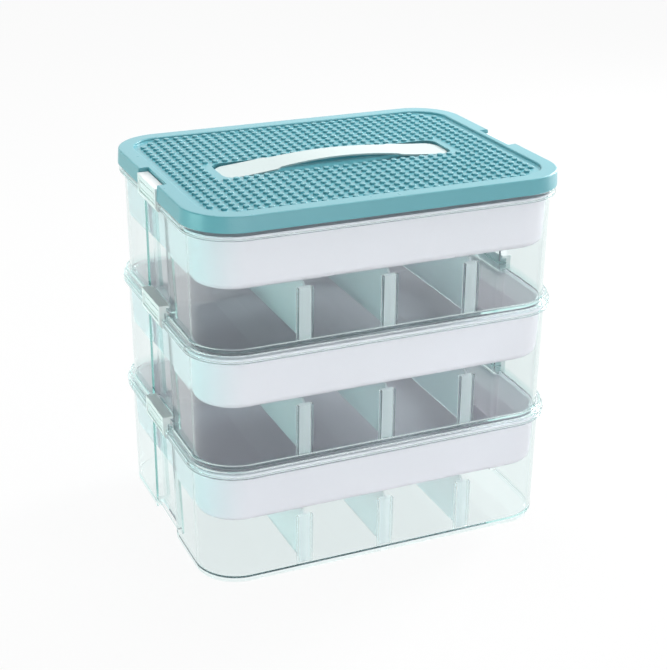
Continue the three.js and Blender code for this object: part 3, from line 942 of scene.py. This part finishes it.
def clear(name, tint, shade_tint, roughness, ior, transmission, grain, depth_tint=None, density=0):
    """Clear or frosted moulded plastic that lets lamp light through in a soft tint."""
    material, tree = new_material(name)
    place = add(tree, "ShaderNodeTexCoord").outputs["Object"]
    flow = add(tree, "ShaderNodeTexNoise", {"Vector": place, "Scale": 1 / (grain * MM), "Detail": 2.0})
    gloss = add(
        tree,
        "ShaderNodeMapRange",
        {
            "Value": flow.outputs[0],
            "To Min": max(roughness - FLOW_GLOSS, 0.0),
            "To Max": roughness + FLOW_GLOSS,
        },
    )
    bump = add(
        tree,
        "ShaderNodeBump",
        {"Height": flow.outputs[0], "Strength": FLOW_RELIEF, "Distance": FLOW_HEIGHT},
    )
    shader = add(
        tree,
        "ShaderNodeBsdfPrincipled",
        {
            "Base Color": colour(tint),
            "Roughness": gloss.outputs[0],
            "IOR": ior,
            "Transmission Weight": transmission,
            "Normal": bump.outputs[0],
        },
    )
    through = add(tree, "ShaderNodeBsdfTransparent", {"Color": colour(shade_tint)})
    path = add(tree, "ShaderNodeLightPath")
    trapped = add(
        tree,
        "ShaderNodeMath",
        {0: path.outputs["Ray Depth"], 1: TRAPPED},
        operation="GREATER_THAN",
    )
    body = add(
        tree,
        "ShaderNodeMixShader",
        {0: trapped.outputs[0], 1: shader.outputs[0], 2: through.outputs[0]},
    )
    mix = add(
        tree,
        "ShaderNodeMixShader",
        {0: path.outputs["Is Shadow Ray"], 1: body.outputs[0], 2: through.outputs[0]},
    )
    output = add(tree, "ShaderNodeOutputMaterial", {"Surface": mix.outputs[0]})
    if depth_tint:
        depth = add(tree, "ShaderNodeVolumeAbsorption", {"Color": colour(depth_tint), "Density": density})
        tree.links.new(depth.outputs[0], output.inputs["Volume"])
    return material


def seen(tree, path):
    """A node that is one for rays from the camera, off gloss and through clear plastic."""
    mirrored = add(
        tree,
        "ShaderNodeMath",
        {0: path.outputs["Is Camera Ray"], 1: path.outputs["Is Glossy Ray"]},
        operation="MAXIMUM",
    )
    return add(
        tree,
        "ShaderNodeMath",
        {0: mirrored.outputs[0], 1: path.outputs["Is Transmission Ray"]},
        operation="MAXIMUM",
    )


def paper(name, shade):
    """Studio paper for the floor: matt white, with part of its own shadow lifted for the camera."""
    material, tree = new_material(name)
    surface = add(tree, "ShaderNodeBsdfDiffuse", {"Color": colour(shade)})
    glow = add(tree, "ShaderNodeEmission", {"Color": (1, 1, 1, 1), "Strength": 1.0})
    path = add(tree, "ShaderNodeLightPath")
    lift = add(
        tree, "ShaderNodeMath", {0: seen(tree, path).outputs[0], 1: SHADOW_LIFT}, operation="MULTIPLY"
    )
    mix = add(tree, "ShaderNodeMixShader", {0: lift.outputs[0], 1: surface.outputs[0], 2: glow.outputs[0]})
    add(tree, "ShaderNodeOutputMaterial", {"Surface": mix.outputs[0]})
    return material


def dressed(piece, material, slot, body, *nodes):
    """Gives a finished piece its material, its body and the nodes it stands for. The slot is not used."""
    piece.data.materials.clear()
    piece.data.materials.append(material)
    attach(piece, body)
    if nodes:
        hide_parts(*nodes)


# Teal moulded polypropylene: a satin skin with soft highlights, and a little light through it.
LID_PLASTIC = moulded(
    "moulded_polypropylene_teal", "#72B9C4", "#6DB4BF", 0.28, 0.7, through=0.06, relief=0.02
)

# Soft white moulded polypropylene: duller than the lid, with a broad faint sheen.
STRAP_PLASTIC = moulded("moulded_polypropylene_soft_white", "#D1DEDD", "#CDDBDA", 0.4, 0.6)

# White moulded polypropylene: nearly as glossy as the lid, so that the panel's steps show.
LATCH_PLASTIC = moulded("moulded_polypropylene_white", "#FEFEFE", "#FBFCFC", 0.3, 0.6)

# Milky moulded polypropylene: the dullest of the four, and light passes through its walls.
TRAY_PLASTIC = moulded("moulded_polypropylene_milky", "#E6DFE5", "#E3DCE3", 0.45, 0.8, through=0.35)

# Clear moulded polystyrene: sharp reflections and an aqua tint that grows with depth. Its IOR is below the
# real 1.59, so the walls bend and mirror less.
TUB_PLASTIC = clear("moulded_clear_polystyrene", "#FDFEFE", "#FDFEFE", 0.02, 1.33, 1.0, 14, "#B2DFDC", 48)

# Frosted polystyrene: it blurs and whitens what stands behind it. Its IOR is lowered in the same way.
DIVIDER_PLASTIC = clear("frosted_polystyrene", "#EEF1F3", "#F4F6F7", 0.42, 1.3, 0.75, 5)


def build_case():
    """Makes each shape once, then sets a copy of it in every tier."""
    lid = lid_shape()
    studs = stud_grid()
    strap = handle_shape()
    dressed(lid, LID_PLASTIC, "lid", "lid", "lid")
    dressed(studs, LID_PLASTIC, "lid", "lid")
    dressed(strap, STRAP_PLASTIC, "handle", "handle", "handle")
    tub, tray, divider, latch = tub_shape(), tray_shape(), divider_shape(), latch_shape()
    first = divider_middles()[0]
    rise = TUB_BASE[1]
    for tier in TIERS:
        base = TUB_BASE[tier]
        shell = copied(tub, f"tub_shell_{tier}", z=base)
        dressed(shell, TUB_PLASTIC, "tub", f"tub_{tier}", f"tub_{tier}")
        tray_bin = copied(tray, f"tray_bin_{tier}", z=base)
        dressed(tray_bin, TRAY_PLASTIC, "tray", f"tray_{tier}", f"tray_{tier}")
        for number, middle in enumerate(divider_middles(), 1):
            node = f"divider_{tier}_{number}"
            web = copied(divider, f"divider_web_{tier}_{number}", x=middle - first, z=base - rise)
            dressed(web, DIVIDER_PLASTIC, "divider", node, node)
        for side in ("right", "left"):
            node = f"latch_{side}_{tier}"
            clip = copied(latch, f"latch_clip_{side}_{tier}", z=base, turned=side == "left")
            dressed(clip, LATCH_PLASTIC, "latch", node, node)
    for pattern in (tub, tray, divider, latch):
        bpy.data.objects.remove(pattern)


def lamp(name, place, size, power, shade):
    """A soft lamp of this width and height, aimed at the middle of the case."""
    bpy.ops.object.light_add(type="AREA", location=place)
    light = bpy.context.object
    light.name = name
    light.data.shape = "RECTANGLE"
    light.data.size, light.data.size_y = size
    light.data.energy = power
    light.data.color = colour(shade)[:3]
    light.rotation_euler = (mathutils.Vector(AIM) - light.location).to_track_quat("-Z", "Y").to_euler()


def studio():
    """Pale floor, soft lamps, and a world that the camera and the clear plastic see as white."""
    bpy.ops.mesh.primitive_plane_add(size=FLOOR_SIZE, location=(0, 0, 0))
    floor = bpy.context.object
    floor.name = floor.data.name = "floor"
    floor.data.materials.append(paper("studio_paper", FLOOR_PAPER))

    world = bpy.data.worlds.new("studio")
    world.use_nodes = True
    tree = world.node_tree
    tree.nodes.clear()
    path = add(tree, "ShaderNodeLightPath")
    direction = add(tree, "ShaderNodeTexCoord").outputs["Generated"]
    height = add(tree, "ShaderNodeSeparateXYZ", {"Vector": direction}).outputs["Z"]
    wall = add(
        tree,
        "ShaderNodeMapRange",
        {
            "Value": height,
            "From Min": 0.0,
            "From Max": CEILING_FROM,
            "To Min": WALL_LIGHT,
            "To Max": CEILING_LIGHT,
        },
    )
    level = add(
        tree,
        "ShaderNodeMapRange",
        {"Value": seen(tree, path).outputs[0], "To Min": wall.outputs[0], "To Max": 1.0},
    )
    across = add(tree, "ShaderNodeSeparateXYZ", {"Vector": direction}).outputs["X"]
    side = add(
        tree,
        "ShaderNodeMapRange",
        {"Value": across, "From Min": TEAL_FROM, "From Max": TEAL_FULL, "To Min": 0.0, "To Max": 1.0},
    )
    diffuse = add(
        tree, "ShaderNodeMath", {0: path.outputs["Is Diffuse Ray"], 1: DIFFUSE_WHITE}, operation="MULTIPLY"
    )
    white = add(
        tree,
        "ShaderNodeMath",
        {0: diffuse.outputs[0], 1: path.outputs["Is Camera Ray"]},
        operation="MAXIMUM",
    )
    unseen = add(tree, "ShaderNodeMath", {0: 1.0, 1: white.outputs[0]}, operation="SUBTRACT")
    teal = add(tree, "ShaderNodeMath", {0: side.outputs[0], 1: unseen.outputs[0]}, operation="MULTIPLY")
    shade = add(
        tree,
        "ShaderNodeMix",
        {"Factor": teal.outputs[0], "A": (1, 1, 1, 1), "B": colour(TEAL_WALL)},
        data_type="RGBA",
    )
    glossy = add(
        tree, "ShaderNodeMath", {0: path.outputs["Is Glossy Ray"], 1: GLOSS_LIFT}, operation="MULTIPLY"
    )
    strength = add(tree, "ShaderNodeMath", {0: level.outputs[0], 1: glossy.outputs[0]}, operation="ADD")
    sky = add(tree, "ShaderNodeBackground", {"Color": result(shade), "Strength": strength.outputs[0]})
    add(tree, "ShaderNodeOutputWorld", {"Surface": sky.outputs[0]})
    bpy.context.scene.world = world

    for each in LAMPS:
        lamp(*each)


def camera():
    """Stands where the photograph was taken, a little above the case and to its left."""
    bpy.ops.object.camera_add(
        location=[value * MM for value in CAMERA_PLACE],
        rotation=[math.radians(angle) for angle in CAMERA_TURN],
    )
    view = bpy.context.object
    view.name = "photo_view"
    view.data.sensor_width = SENSOR
    view.data.lens = LENS
    view.data.shift_y = LENS_SHIFT
    bpy.context.scene.camera = view


build_case()
studio()
camera()
bpy.context.scene.view_settings.view_transform = "Standard"
paths = bpy.context.scene.cycles
paths.max_bounces = paths.transmission_bounces = BOUNCES
paths.glossy_bounces = paths.transparent_max_bounces = BOUNCES
